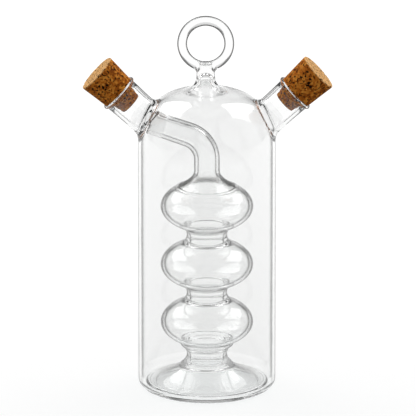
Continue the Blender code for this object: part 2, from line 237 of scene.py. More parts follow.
def glass_body(name, points, faces, normals, joints, material, node):
    """Makes a closed glass piece of a CAD node from faces with a normal at each corner.

    faces and normals are arrays of whole quads or triangles, and joints marks melted joint faces.
    """
    mesh = bpy.data.meshes.new(name)
    sizes = np.concatenate([np.full(len(f), f.shape[1]) for f in faces])
    corners = np.concatenate([f.ravel() for f in faces])
    mesh.vertices.add(len(points))
    mesh.vertices.foreach_set("co", np.ascontiguousarray(points, np.float32).ravel())
    mesh.loops.add(len(corners))
    mesh.loops.foreach_set("vertex_index", corners.astype(np.int32))
    mesh.polygons.add(len(sizes))
    mesh.polygons.foreach_set("loop_start", (np.cumsum(sizes) - sizes).astype(np.int32))
    mesh.polygons.foreach_set("material_index", np.concatenate(joints).astype(np.int32))
    mesh.update(calc_edges=True)
    mesh.materials.append(material)
    mesh.materials.append(JOINT)
    mesh.polygons.foreach_set("use_smooth", np.ones(len(sizes), bool))
    mesh.normals_split_custom_set(np.concatenate([n.reshape(-1, 3) for n in normals]).tolist())
    piece = bpy.data.objects.new(name, mesh)
    bpy.context.scene.collection.objects.link(piece)
    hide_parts(node)
    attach(piece, "vessel")
    return piece


def facing(outline):
    """Points (radius, height) that keep the glass on their left, with a unit normal for each."""
    outline = np.asarray(outline, float)
    ahead = np.gradient(outline, axis=0)
    ahead /= np.linalg.norm(ahead, axis=1)[:, None] + 1e-12
    return np.column_stack([outline, ahead[:, 1], -ahead[:, 0]])


def in_metres(outline):
    return [(radius * MM, height * MM) for radius, height in outline]


def softened(outline):
    """Rounds the corners of an outline by cutting them again and again. Its ends stay."""
    points = np.asarray(outline, float)
    for _ in range(3):
        near = points[:-1] * 0.75 + points[1:] * 0.25
        far = points[:-1] * 0.25 + points[1:] * 0.75
        middle = np.stack([near, far], 1).reshape(-1, 2)
        points = np.concatenate([points[:1], middle, points[-1:]])
    return points


def spun_rings(run, sides, place=Matrix.Identity(4)):
    """Turns a run of (radius, height, normal) into rings of places and rings of normals."""
    turns = 2 * pi * np.arange(sides) / sides
    across = np.stack([np.cos(turns), np.sin(turns), 0 * turns], -1)
    where = run[:, 0, None, None] * across + run[:, 1, None, None] * UP
    facing_to = run[:, 2, None, None] * across + run[:, 3, None, None] * UP
    turn = np.array(place.to_3x3())
    return where @ turn.T + np.array(place.translation), facing_to @ turn.T


def ringed_glass(name, runs, material, node):
    """Skins a closed chain of ring runs. Each run is (places, normals, is a melted joint)."""
    points, rings, count = [], [], 0
    for where, _, _ in runs:
        numbers = np.arange(where.shape[0] * where.shape[1]).reshape(where.shape[:2]) + count
        for k, ring in enumerate(where):
            if np.ptp(ring, axis=0).max() < SAME_PLACE:
                numbers[k] = numbers[k, 0]
        points.append(where.reshape(-1, 3))
        rings.append(numbers)
        count += where.shape[0] * where.shape[1]
    places = np.concatenate(points)
    for here, after in zip(rings, rings[1:] + rings[:1]):
        if here is not after:
            if np.abs(places[here[-1]] - places[after[0]]).max() < SAME_PLACE:
                after[0] = here[-1]

    def squares(a):
        return a[:-1], np.roll(a[:-1], -1, 1), np.roll(a[1:], -1, 1), a[1:]

    quads, triangles = ([], [], []), ([], [], [])
    for numbers, (_, normals, joint) in zip(rings, runs):
        face = np.stack(squares(numbers), -1).reshape(-1, 4)
        normal = np.stack(squares(normals), 2).reshape(-1, 4, 3)
        low = face[:, 0] == face[:, 1]
        high = face[:, 2] == face[:, 3]
        for kind, keep, corners in (
            (quads, ~low & ~high, (0, 1, 2, 3)),
            (triangles, low & ~high, (0, 2, 3)),
            (triangles, high & ~low, (0, 1, 2)),
        ):
            if keep.any():
                kind[0].append(face[keep][:, corners])
                kind[1].append(normal[keep][:, corners])
                kind[2].append(np.full(keep.sum(), joint))
    faces, normals, joints = (a + b for a, b in zip(quads, triangles))
    used = np.unique(np.concatenate([f.ravel() for f in faces]))
    renumber = np.zeros(len(places), int)
    renumber[used] = np.arange(len(used))
    faces = [renumber[f] for f in faces]
    return glass_body(name, places[used], faces, normals, joints, material, node)


def turned_glass(name, outlines, sides, material, node, place=Matrix.Identity(4)):
    """Turns a piece from runs of (outline with normals, is a melted joint)."""
    runs = [(*spun_rings(run, sides, place), joint) for run, joint in outlines]
    return ringed_glass(name, runs, material, node)


inside_radius = BODY_RADIUS - BODY_WALL
heel = BODY_RADIUS - HEEL_RADIUS
quarter = np.linspace(-pi / 2, 0, 22)
heel_arc = np.column_stack([
    heel + HEEL_RADIUS * np.cos(quarter),
    HEEL_RADIUS + HEEL_RADIUS * np.sin(quarter),
])
underside = softened([*in_metres(UNDERSIDE_MM), (heel, 0.0)])
wall_foot = [(BODY_RADIUS, HEEL_TOP), (BODY_RADIUS, BOTTOM_JOINT)]
outside = np.concatenate([underside, heel_arc[1:], wall_foot])
inside = softened([
    (inside_radius, BOTTOM_JOINT), (inside_radius, 6.0 * MM), (inside_radius, 4.4 * MM),
    *in_metres(FLOOR_MM),
])
rim = np.array([(BODY_RADIUS, BOTTOM_JOINT), (inside_radius, BOTTOM_JOINT)])
turned_glass(
    "bottle_floor",
    [(facing(outside), False), (facing(rim), True), (facing(inside), False)],
    BODY_SIDES,
    clear_glass("floor_glass", rim=(0.2, 0.3, 0.42, 0.6), top=0.35),
    "base",
)

# ---- The outer bottle --------------------------------------------------------------------------
# One tube of clear glass, closed above by a blown dome. Where each spout and the ring's stem are
# melted on, the hot glass has drawn out into a short flared collar, and the elbow tube's end has
# run into the inside of the dome in the same way.

SHOULDER = 131.5 * MM
DOME_RISE = 36.0 * MM
SQUARENESS = 2.6
SPOUT_ANGLE = radians(43)
SPOUT_CROSSING = 121.1 * MM
SPOUT_RADIUS = 9.8 * MM
SPOUT_BORE = 7.9 * MM
SPOUT_JOINT = 50.5 * MM
ELBOW_SLOPE = radians(19)
ELBOW_KINK = np.array([-30.18, 0.0, 149.25]) * MM
ELBOW_RADIUS = 6.5 * MM
ELBOW_BORE = 4.6 * MM
ELBOW_JOINT = 8.0 * MM
STEM_FOOT = np.array([-0.65, 0.0, 0.0]) * MM
STEM_WAIST = 5.1 * MM
STEM_REACH = 8.5 * MM
STEM_JOINT = 171.0 * MM
HOLLOW_TOP = 174.0 * MM
HOLLOW_RADIUS = 2.8 * MM
HOLLOW_REACH = 8.5 * MM
SPOUT_START = 20 * MM
COLLAR_REACH = 3.4 * MM
LEFT_BORE_START, LEFT_BORE_REACH = 42.5 * MM, 2.5 * MM
RIGHT_BORE_START, RIGHT_BORE_REACH = 35 * MM, 1.8 * MM
ELBOW_END_X = -8 * MM
ELBOW_COLLAR_REACH = 4.5 * MM
ELBOW_BORE_HALF = 10 * MM
ELBOW_CUT_DEPTH = 4 * MM
SLOPE_STEP = 0.00002
JOINT_CELLS, JOINT_WALL = 0.8 * MM, 3 * MM
ON_JOINT = 0.00003
NET_PASSES = 8
EDGE_SHADE_FADE_RADIUS = 0.0367

outward = {side: np.array([side * cos(SPOUT_ANGLE), 0.0, sin(SPOUT_ANGLE)]) for side in (-1, 1)}
crossing = np.array([0.0, 0.0, SPOUT_CROSSING])
down_slope = np.array([cos(ELBOW_SLOPE), 0.0, -sin(ELBOW_SLOPE)])


def merged(a, b, reach):
    """Both shapes run together, with a soft fillet where they meet."""
    near = np.maximum(reach - np.abs(a - b), 0) / reach
    return np.minimum(a, b) - near**2 * reach / 4


def domed(p, offset):
    """The dome and the wall below it, moved out by an offset. Negative inside."""
    radius = np.hypot(p[..., 0], p[..., 1]) / (BODY_RADIUS + offset)
    climb = np.maximum(p[..., 2] - SHOULDER, 0) / (DOME_RISE + offset)
    return ((radius**SQUARENESS + climb**SQUARENESS) ** (1 / SQUARENESS) - 1) * BODY_RADIUS


def along(p, start, direction):
    return (p - start) @ direction


def rod(p, start, direction, radius):
    """A straight round rod without ends. Negative inside."""
    away = p - start
    length = away @ direction
    return np.linalg.norm(away - length[..., None] * direction, axis=-1) - radius


def hollow_stem(p):
    """The room under the dome, drawn up into the foot of the stem as the hot glass was pulled."""
    away = np.hypot(p[..., 0] - STEM_FOOT[0], p[..., 1])
    drawn = np.hypot(away, np.maximum(p[..., 2] - HOLLOW_TOP, 0)) - HOLLOW_RADIUS
    return merged(domed(p, -BODY_WALL), drawn, HOLLOW_REACH)


def bottle_skin(p):
    """The outer bottle with its collars, as one field that is negative in the glass."""
    solid = merged(domed(p, 0.0), rod(p, STEM_FOOT, UP, STEM_WAIST), STEM_REACH)
    for axis in outward.values():
        spout = rod(p, crossing, axis, SPOUT_RADIUS)
        spout = np.maximum(spout, SPOUT_START - along(p, crossing, axis))
        solid = merged(solid, spout, COLLAR_REACH)
    left, right = outward[-1], outward[1]
    right_start = RIGHT_BORE_START - along(p, crossing, right)
    right_bore = np.maximum(rod(p, crossing, right, SPOUT_BORE), right_start)
    left_start = LEFT_BORE_START - along(p, crossing, left)
    left_bore = np.maximum(rod(p, crossing, left, SPOUT_BORE), left_start)
    stub = np.abs(along(p, ELBOW_KINK, down_slope) - ELBOW_BORE_HALF) - ELBOW_BORE_HALF
    elbow_bore = np.maximum(rod(p, ELBOW_KINK, down_slope, ELBOW_BORE), stub)
    elbow = np.maximum(rod(p, ELBOW_KINK, down_slope, ELBOW_RADIUS), p[..., 0] - ELBOW_END_X)
    room = -merged(-hollow_stem(p), elbow, ELBOW_COLLAR_REACH)
    room = merged(room, right_bore, RIGHT_BORE_REACH)
    left_room = merged(left_bore, elbow_bore, LEFT_BORE_REACH)
    return np.maximum(np.maximum(solid, -room), -left_room)


def bottle_cuts(p):
    """The bottle's flat melted joints: below, at both spouts, at the stem and at the elbow."""
    deep_inside = -domed(p, -BODY_WALL) - ELBOW_CUT_DEPTH
    return [
        BOTTOM_JOINT - p[..., 2],
        along(p, crossing, outward[-1]) - SPOUT_JOINT,
        along(p, crossing, outward[1]) - SPOUT_JOINT,
        p[..., 2] - STEM_JOINT,
        np.minimum(along(p, ELBOW_KINK, down_slope) - ELBOW_JOINT, deep_inside),
    ]


def slope_of(field, p, step=SLOPE_STEP):
    """The direction in which a field grows fastest."""
    rise = [(field(p + step * axis) - field(p - step * axis)) / (2 * step) for axis in np.eye(3)]
    return np.stack(rise, -1)


def drawn_to(field, p, most):
    """Moves points onto a field's zero surface, each by no more than most."""
    value = field(p)[..., None]
    slope = slope_of(field, p)
    move = -value * slope / ((slope**2).sum(-1, keepdims=True) + 1e-9)
    size = np.linalg.norm(move, axis=-1, keepdims=True) + 1e-15
    return p + move * np.minimum(1, most / size)


def netted_glass(name, skin, cuts, radii, sides, heights, material, node):
    """Skins a field with one point in each ring-shaped cell that its surface passes through.

    skin is negative in the glass, and cuts gives the melted joints' planes, positive beyond them.
    """
    turns = 2 * pi * np.arange(sides) / sides
    grid = np.meshgrid(radii, turns, heights, indexing="ij")
    p = np.stack([grid[0] * np.cos(grid[1]), grid[0] * np.sin(grid[1]), grid[2]], -1)
    skin_at = skin(p)
    cuts_at = cuts(p)
    value = np.maximum(skin_at, np.max(cuts_at, axis=0))

    def corners(a):
        ring = np.concatenate([a, a[:, :1]], 1)
        parts = [
            ring[i:len(ring) - 1 + i, j:sides + j, k:ring.shape[2] - 1 + k]
            for i in (0, 1) for j in (0, 1) for k in (0, 1)
        ]
        return np.stack(parts, -1)

    def crossed(a):
        below = corners(a) < 0
        return below.any(-1) & ~below.all(-1)

    cell = crossed(value)
    number = np.full(cell.shape, -1)
    number[cell] = np.arange(cell.sum())
    at = [c[cell] for c in (corners(grid[0]), corners(grid[1]), corners(grid[2]))]
    last = np.nonzero(cell)[1] == sides - 1
    at[1][np.ix_(last, [2, 3, 6, 7])] = 2 * pi
    level = corners(value)[cell]
    total, weight = np.zeros((len(level), 3)), np.zeros((len(level), 1))
    for a in range(8):
        for b in (a ^ 1, a ^ 2, a ^ 4):
            if b > a:
                share = level[:, a] / (level[:, a] - level[:, b] + 1e-15)
                here = ((level[:, a] < 0) != (level[:, b] < 0))[:, None]
                place = np.stack([c[:, a] + (c[:, b] - c[:, a]) * share for c in at], -1)
                total += np.where(here, place, 0)
                weight += here
    total /= weight
    spokes = [total[:, 0] * turned(total[:, 1]) for turned in (np.cos, np.sin)]
    points = np.stack([*spokes, total[:, 2]], -1)
    on_skin = crossed(skin_at)[cell]
    which = np.full(len(points), -1)
    outermost = np.max(cuts_at, axis=0)
    for k, cut_at in enumerate(cuts_at):
        which[crossed(cut_at)[cell] & (outermost == cut_at)[:-1, :, :-1][cell]] = k
    for k, cut_at in enumerate(cuts_at):
        near = np.abs(cuts(points)[k]) < JOINT_CELLS
        which[crossed(cut_at)[cell] & near & (np.abs(skin(points)) < JOINT_WALL)] = k
    most = 0.5 * (heights[-1] - heights[-2])
    for _ in range(NET_PASSES):
        plain = on_skin & (which < 0)
        points[plain] = drawn_to(skin, points[plain], most)
        for k in range(len(cuts_at)):
            flat = lambda q: cuts(q)[k]
            only = (which == k) & ~on_skin
            both = (which == k) & on_skin
            if only.any():
                points[only] = drawn_to(flat, points[only], most)
            if both.any():
                points[both] = drawn_to(skin, points[both], most)
                points[both] = drawn_to(flat, points[both], most)
    inside = value < 0
    faces = []

    def add(edges, shift_a, shift_b, flip):
        """A quad of the four cells round each grid edge that the surface crosses."""
        cells = []
        for da, db in ((-1, -1), (0, -1), (0, 0), (-1, 0)):
            at = list(np.nonzero(edges))
            at[shift_a] = at[shift_a] + da
            at[shift_b] = at[shift_b] + db
            ok = (at[0] >= 0) & (at[0] < number.shape[0])
            ok &= (at[2] >= 0) & (at[2] < number.shape[2])
            at[0] = np.clip(at[0], 0, number.shape[0] - 1)
            at[2] = np.clip(at[2], 0, number.shape[2] - 1)
            cells.append(np.where(ok, number[at[0], at[1] % sides, at[2]], -1))
        quad = np.stack(cells, -1)
        quad = quad[(quad >= 0).all(1)]
        faces.append(quad[:, ::-1] if flip else quad)

    add(inside[:, :, :-1] & ~inside[:, :, 1:], 0, 1, False)
    add(~inside[:, :, :-1] & inside[:, :, 1:], 0, 1, True)
    add(inside[:-1] & ~inside[1:], 1, 2, False)
    add(~inside[:-1] & inside[1:], 1, 2, True)
    after = np.roll(inside, -1, 1)
    add(inside & ~after, 2, 0, False)
    add(~inside & after, 2, 0, True)
    quads = np.concatenate(faces)
    hubs, fans = [], []
    axis_inside = inside[0, 0]
    for k in np.nonzero(axis_inside[:-1] != axis_inside[1:])[0]:
        ring = number[0, :, k]
        hub = points[ring].mean(0)
        hubs.append(hub)
        centre = np.full(sides, len(points) + len(hubs) - 1)
        fan = np.stack([centre, ring, np.roll(ring, -1)], -1)
        fans.append(fan if axis_inside[k] else fan[:, ::-1])
    points = np.concatenate([points, hubs]) if hubs else points
    normal = slope_of(skin, points)
    normal /= np.linalg.norm(normal, axis=1)[:, None] + 1e-12
    flat_at = np.stack(cuts(points), -1)
    sets = [quads] + ([np.concatenate(fans)] if fans else [])
    normals, joints = [], []
    for face in sets:
        lies = np.abs(flat_at[face]).max(1) < ON_JOINT
        joint = lies.any(1)
        p0, p1, p2 = (points[face[:, c]] for c in (0, 1, 2))
        level_normal = np.cross(p1 - p0, p2 - p0)
        level_normal /= np.linalg.norm(level_normal, axis=1)[:, None] + 1e-15
        corner = normal[face]
        corner[joint] = level_normal[joint][:, None]
        normals.append(corner)
        joints.append(joint)
    return glass_body(name, points, sets, normals, joints, material, node)


net_radii = np.concatenate([[0.0], np.arange(0.7, 46.5, 0.78) * MM])
joint_heights = [7.75 * MM, 8.55 * MM]
wall_heights = np.linspace(10 * MM, 104 * MM, 32)
dome_heights = np.arange(105.4, 172.5, 0.8) * MM
netted_glass(
    "bottle_wall_and_dome",
    bottle_skin,
    bottle_cuts,
    net_radii,
    BODY_SIDES,
    np.concatenate([joint_heights, wall_heights, dome_heights]),
    # Shade is painted into this glass where it is seen edge-on, less outside the outer skin.
    clear_glass(
        "bottle_glass", rim=(0.16, 0.22, 0.28, 0.38), top=0.2, clear=0.932, skin=EDGE_SHADE_FADE_RADIUS,
    ),
    "outer_body",
)

# ---- The inner vessel --------------------------------------------------------------------------
# A wide bell foot, then a neck and a flattened bulb in turn, three times over, all of clear blown
# tube. Each neck is waisted, and the small bead inside its ends is the seam where it is melted on.

VESSEL_SIDES = 192
BULB_CENTRES = (36.805 * MM, 69.54 * MM, 102.28 * MM)
BULB_RADIUS, BULB_HALF_HEIGHT = 25.2 * MM, 13.9 * MM
BULB_INNER_RADIUS, BULB_INNER_HALF_HEIGHT = 23.5 * MM, 12.35 * MM
BELL_CONE, BELL_INNER_CONE = 36.2 * MM, 33.6 * MM
BELL_SLOPE = 1.84
BELL_BOTTOM = 2.9 * MM
NECK_MIDDLES = np.array([18.2, 53.17, 85.91]) * MM
NECK_RADIUS, NECK_BORE = 11.0 * MM, 9.2 * MM
NECK_BEND = 4.5 * MM
DROP_RADIUS, DROP_BORE = 6.95 * MM, 5.1 * MM
DROP_FLARE_TOP, DROP_BEND = 122.0 * MM, 4.2 * MM
BELL_JOINT = 12.6 * MM
VESSEL_JOINTS = (25.29 * MM, 48.32 * MM, 58.02 * MM, 81.06 * MM, 90.76 * MM, 113.8 * MM)
BELL_LIP, BELL_LIP_HEIGHT = 4.5 * MM, 1.1 * MM
BELL_EDGE, BELL_TOP = 0.4 * MM, 18 * MM
BELL_EDGE_DROP = 0.38 * MM
NECK_BORE_BEND = 13 * MM
NECK_HALF_LENGTH = 5.5 * MM
SEAM_BEAD, SEAM_WIDTH, SEAM_FROM_WAIST = 0.95 * MM, 0.6 * MM, 4.6 * MM
BULB_MARGIN = 2 * MM
DROP_FLARE_LENGTH = 9.0 * MM
OUTER_REACH, INNER_REACH = 1.8 * MM, 0.9 * MM
RUN_SPACING, FINE_STEPS = 0.36 * MM, 24001
BEND_RADIUS = 15.0 * MM
BEND_START_X = BEND_RADIUS * (sin(ELBOW_SLOPE) - 1)
BEND_END = (
    ELBOW_KINK[2] - (BEND_START_X - ELBOW_KINK[0]) * sin(ELBOW_SLOPE) / cos(ELBOW_SLOPE)
    - BEND_RADIUS * cos(ELBOW_SLOPE)
)


def fuller(a, b, reach):
    return -merged(-a, -b, reach)


def vessel_skin(z, bulb, half, cone, neck, bend, drop, reach, bead=0.0):
    """The vessel's radius at a height: bulbs and bell, run into the waisted tubes between them."""
    waist = np.abs(z[:, None] - NECK_MIDDLES).min(1)
    seam = bead * np.exp(-(((waist - SEAM_FROM_WAIST) / SEAM_WIDTH) ** 2))
    tube = neck + np.minimum(waist, NECK_HALF_LENGTH) ** 2 / (2 * bend) - seam
    flare = drop + np.clip(DROP_FLARE_TOP - z, 0, DROP_FLARE_LENGTH) ** 2 / (2 * DROP_BEND)
    tube = np.where(z > BULB_CENTRES[2], flare, tube)
    radius = tube
    for centre in BULB_CENTRES:
        swell = bulb * np.sqrt(np.maximum(1 - ((z - centre) / half) ** 2, 0))
        beside = np.abs(z - centre) < half + BULB_MARGIN
        radius = np.where(beside, fuller(tube, swell, reach), radius)
    skirt = cone - BELL_SLOPE * z + BELL_LIP * np.exp((BELL_BOTTOM - z) / BELL_LIP_HEIGHT)
    return np.where(z < BELL_TOP, fuller(tube, skirt, reach), radius)


def even_run(radius_at, start, end, spacing, keep):
    """A skin's outline between two heights, in even steps along it and through the heights kept."""
    z = np.linspace(start, end, FINE_STEPS)
    r = radius_at(z)
    length = np.concatenate([[0], np.cumsum(np.hypot(np.diff(r), np.diff(z)))])
    slope = np.gradient(np.column_stack([r, z]), axis=0)
    slope /= np.linalg.norm(slope, axis=1)[:, None]
    stops = [0.0] + [np.interp(k, z, length) for k in keep] + [length[-1]]
    marks = [
        np.linspace(a, b, max(int((b - a) / spacing), 2) + 1)[:-1]
        for a, b in zip(stops, stops[1:])
    ]
    marks = np.concatenate(marks + [[length[-1]]])
    columns = [np.interp(marks, length, c) for c in (r, z, slope[:, 1], -slope[:, 0])]
    return np.column_stack(columns)


def vessel_run(*shape):
    """The whole vessel's outline, from the bell's edge to the elbow's bend."""
    start, joints = BELL_BOTTOM + BELL_EDGE, (BELL_JOINT, *VESSEL_JOINTS)
    return even_run(lambda z: vessel_skin(z, *shape), start, BEND_END, RUN_SPACING, joints)


outer_run = vessel_run(
    BULB_RADIUS, BULB_HALF_HEIGHT, BELL_CONE, NECK_RADIUS, NECK_BEND, DROP_RADIUS, OUTER_REACH,
)
inner_run = vessel_run(
    BULB_INNER_RADIUS, BULB_INNER_HALF_HEIGHT, BELL_INNER_CONE, NECK_BORE, NECK_BORE_BEND,
    DROP_BORE, INNER_REACH, SEAM_BEAD,
)
inner_run[:, 2:] *= -1


def between(run, low, high):
    return run[(run[:, 1] > low - 1e-8) & (run[:, 1] < high + 1e-8)]


def joint_run(a, b):
    """The flat ring of a melted joint, from one (radius, height) to the other."""
    return facing(np.array([a[:2], b[:2]])), True


vessel_glass = clear_glass("vessel_glass", rim=(0.09, 0.13, 0.18, 0.26), top=0.34, clear=0.996)
edge_outer, edge_inner = outer_run[0], inner_run[0]
middle = (edge_outer[0] + edge_inner[0]) / 2
half_wall = (edge_outer[0] - edge_inner[0]) / 2
half_turn = np.linspace(-pi, 0, 13)
bell_edge = np.column_stack([
    middle + half_wall * np.cos(half_turn),
    edge_outer[1] + BELL_EDGE_DROP * np.sin(half_turn),
])
vessel_pieces = (
    "bell_foot", "lower_neck", "lower_bulb", "middle_neck", "middle_bulb", "upper_neck",
    "upper_bulb",
)
levels = (BELL_BOTTOM, BELL_JOINT, *VESSEL_JOINTS)
for name, low, high in zip(vessel_pieces, levels, levels[1:]):
    outer = between(outer_run, low, high)
    inner = between(inner_run, low, high)[::-1]
    foot = joint_run(inner[-1], outer[0])
    if name == "bell_foot":
        foot = (facing(bell_edge), False)
    outlines = [(outer, False), joint_run(outer[-1], inner[0]), (inner, False), foot]
    turned_glass(name + "_blown", outlines, VESSEL_SIDES, vessel_glass, name)

# ---- The elbow tube ----------------------------------------------------------------------------
# A narrower tube of the same glass that leads from the left spout down a slope, round a bend in the
# middle of the dome and straight down into the top bulb. It was bent hot over a flame.

ELBOW_SIDES = 96
SIDEWAYS = np.array([0.0, 1.0, 0.0])
slope_start = ELBOW_KINK + down_slope * ELBOW_JOINT
bend_centre = np.array([-BEND_RADIUS, 0.0, BEND_END])
bend_start = bend_centre + BEND_RADIUS * np.array([sin(ELBOW_SLOPE), 0.0, cos(ELBOW_SLOPE)])
slope = [slope_start + (bend_start - slope_start) * s for s in np.linspace(0, 1, 22)[:-1]]
bend = [
    bend_centre + BEND_RADIUS * np.array([sin(t), 0.0, cos(t)])
    for t in np.linspace(ELBOW_SLOPE, pi / 2, 25)
]
path = np.array(slope + bend)
ahead = np.gradient(path, axis=0)
ahead[0], ahead[-1] = down_slope, (0.0, 0.0, -1.0)
ahead /= np.linalg.norm(ahead, axis=1)[:, None]
travelled = np.concatenate([[0], np.cumsum(np.linalg.norm(np.diff(path, axis=0), axis=1))])
share = travelled / travelled[-1]
ease = share**2 * (3 - 2 * share)
spin = 2 * pi * np.arange(ELBOW_SIDES) / ELBOW_SIDES


def swept_rings(radii, sign):
    across = np.stack([ahead[:, 2], 0 * ahead[:, 0], -ahead[:, 0]], -1)
    spokes = across[:, None] * np.cos(spin)[:, None] + SIDEWAYS * np.sin(spin)[:, None]
    return path[:, None] + spokes * radii[:, None, None], spokes * sign


drop_outer = between(outer_run, VESSEL_JOINTS[-1], BEND_END)[::-1]
drop_inner = between(inner_run, VESSEL_JOINTS[-1], BEND_END)[::-1]


def drop_rings(run):
    """The straight drop into the bulb, in the same turning order as the swept part above it."""
    spokes = np.stack([-np.cos(spin), np.sin(spin), 0 * spin], -1)
    where = run[:, 0, None, None] * spokes + run[:, 1, None, None] * UP
    return where, run[:, 2, None, None] * spokes + run[:, 3, None, None] * UP


outer_radii = ELBOW_RADIUS + (DROP_RADIUS - ELBOW_RADIUS) * ease
inner_radii = ELBOW_BORE + (DROP_BORE - ELBOW_BORE) * ease
upper_outer, upper_outer_normal = swept_rings(outer_radii, 1.0)
upper_inner, upper_inner_normal = swept_rings(inner_radii, -1.0)
lower_outer, lower_outer_normal = drop_rings(drop_outer)
lower_inner, lower_inner_normal = drop_rings(drop_inner)
outer_rings = np.concatenate([upper_outer[:-1], lower_outer])
outer_normals = np.concatenate([upper_outer_normal[:-1], lower_outer_normal])
inner_rings = np.concatenate([upper_inner[:-1], lower_inner])[::-1]
inner_normals = np.concatenate([upper_inner_normal[:-1], lower_inner_normal])[::-1]
bottom_cap = np.stack([outer_rings[-1], inner_rings[0]])
top_cap = np.stack([inner_rings[-1], outer_rings[0]])
elbow_runs = [
    (outer_rings, outer_normals, False),
    (bottom_cap, np.broadcast_to([0.0, 0.0, -1.0], bottom_cap.shape), True),
    (inner_rings, inner_normals, False),
    (top_cap, np.broadcast_to(-down_slope, top_cap.shape), True),
]
elbow_glass = clear_glass("elbow_glass", rim=(0.052, 0.09, 0.14, 0.26), top=0.9)
ringed_glass("elbow_bent", elbow_runs, elbow_glass, "elbow_tube")

# ---- The spouts --------------------------------------------------------------------------------
# Two short straight tubes, opened out and fire-polished at the lip, which holds the cork. Each one
# is melted to its collar on the dome.

SPOUT_SIDES = 160
SPOUT_REACH = 65.8 * MM
SPOUT_STRAIGHT = 3 * MM
SPOUT_LIP_MM = (
    (9.9, 57), (10.05, 61), (10.15, 63.2), (10.2, 64.0), (10.85, 64.15), (11.2, 64.8),
    (11.15, 65.6), (10.75, 66.05), (10.25, 65.9), (10.0, 65.4), (9.65, 64.9), (9.35, 64.2),
    (8.85, 62.9), (8.4, 61.2), (8.1, 58),
)


def leaning(side):
    """Turns an upright piece onto the axis of the spout at one side."""
    return Matrix.Translation(crossing) @ Matrix.Rotation(side * (pi / 2 - SPOUT_ANGLE), 4, "Y")


spout_outline = softened([
    (SPOUT_RADIUS, SPOUT_JOINT), (SPOUT_RADIUS, SPOUT_JOINT + SPOUT_STRAIGHT),
    *in_metres(SPOUT_LIP_MM),
    (SPOUT_BORE, SPOUT_JOINT + SPOUT_STRAIGHT), (SPOUT_BORE, SPOUT_JOINT),
])
spout_run = facing(spout_outline)
spout_runs = [(spout_run, False), joint_run(spout_run[-1], spout_run[0])]
spout_glass = clear_glass("spout_glass", rim=(0.09, 0.15, 0.22, 0.36), top=1.0)
for side, node in ((-1, "left_spout"), (1, "right_spout")):
    turned_glass(node + "_drawn", spout_runs, SPOUT_SIDES, spout_glass, node, leaning(side))

# ---- The ring and its stem ---------------------------------------------------------------------
# A solid glass rod bent into a ring, melted onto a short waisted stem that flares onto the top of
# the dome. The room under the dome runs up a little into the stem's foot. The ring is the handle.

RING_CENTRE = 193.1 * MM
RING_RADIUS, ROD_RADIUS = 12.7 * MM, 2.7 * MM
ROD_SIDES = 48
RING_JOINT = radians(27)
STEM_TAPER = 177.5 * MM
STEM_SIDES = 96
STEM_NARROWING, STEM_BEND = 0.36, 1.5 * MM
STEM_CAP = 4.0 * MM
RING_REACH = 2.4 * MM
# Steps of the shade painted where the ring and stem are seen edge-on, and where it fades on the
# stem.
RING_SHADE_STEPS = (0.040, 0.046, 0.054, 0.10)
RING_WAVES = 0.006
STEM_PAINTED_SHADE_FADE = (0.179, 0.184)
ring_middle = STEM_FOOT + np.array([0, 0, RING_CENTRE])
round_ring = np.linspace(-pi / 2 + RING_JOINT, 3 * pi / 2 - RING_JOINT, 150)
spin = 2 * pi * np.arange(ROD_SIDES) / ROD_SIDES
away = np.stack([np.cos(round_ring), 0 * round_ring, np.sin(round_ring)], -1)
spokes = away[:, None] * np.cos(spin)[:, None] + SIDEWAYS * np.sin(spin)[:, None]
ring_places = ring_middle + away[:, None] * RING_RADIUS + spokes * ROD_RADIUS
first, final = ring_places[0], ring_places[-1]
first_hub, final_hub = (np.broadcast_to(end.mean(0), end.shape) for end in (first, final))
start_way = np.array([sin(round_ring[0]), 0, -cos(round_ring[0])])
end_way = np.array([-sin(round_ring[-1]), 0, cos(round_ring[-1])])
ring_runs = [
    (np.stack([first_hub, first]), np.broadcast_to(start_way, (2, *first.shape)), True),
    (ring_places, spokes, False),
    (np.stack([final, final_hub]), np.broadcast_to(end_way, (2, *final.shape)), True),
]
ring_glass = clear_glass("ring_glass", rim=RING_SHADE_STEPS, top=1.0, wave_size=RING_WAVES)
ringed_glass("ring_of_rod", ring_runs, ring_glass, "hanging_ring")


def stem_skin(p):
    """The stem with the bottom of the ring run into it. Negative in the glass."""
    rise = p[..., 2] - STEM_TAPER
    stem = rod(p, STEM_FOOT, UP, STEM_WAIST)
    stem = stem + STEM_NARROWING * (rise + np.sqrt(rise**2 + STEM_BEND**2)) / 2
    stem = merged(np.maximum(stem, rise - STEM_CAP), domed(p, 0.0), STEM_REACH)
    across = np.hypot(p[..., 0] - STEM_FOOT[0], p[..., 2] - RING_CENTRE) - RING_RADIUS
    solid = merged(stem, np.hypot(across, p[..., 1]) - ROD_RADIUS, RING_REACH)
    return np.maximum(solid, -hollow_stem(p))


def stem_cuts(p):
    """The stem's melted joints: on the dome's flare and at the ring's two ends."""
    ends = [np.array([side * cos(RING_JOINT), 0.0, sin(RING_JOINT)]) for side in (-1, 1)]
    return [STEM_JOINT - p[..., 2], *(along(p, ring_middle, end) for end in ends)]


stem_radii = np.concatenate([[0.0], np.arange(0.45, 13, 0.4) * MM])
stem_heights = np.arange(170.8, 186, 0.4) * MM
netted_glass(
    "stem_melted",
    stem_skin,
    stem_cuts,
    stem_radii,
    STEM_SIDES,
    stem_heights,
    clear_glass(
        "stem_glass", rim=RING_SHADE_STEPS, top=1.0, wave_size=RING_WAVES, foot=STEM_PAINTED_SHADE_FADE,
    ),
    "ring_stem",
)

# ---- The corks ---------------------------------------------------------------------------------
# Two tapered stoppers pressed from granules of natural cork, with open pits where granules have
# broken out. Each is pushed into its spout's mouth, which squeezes it a little.

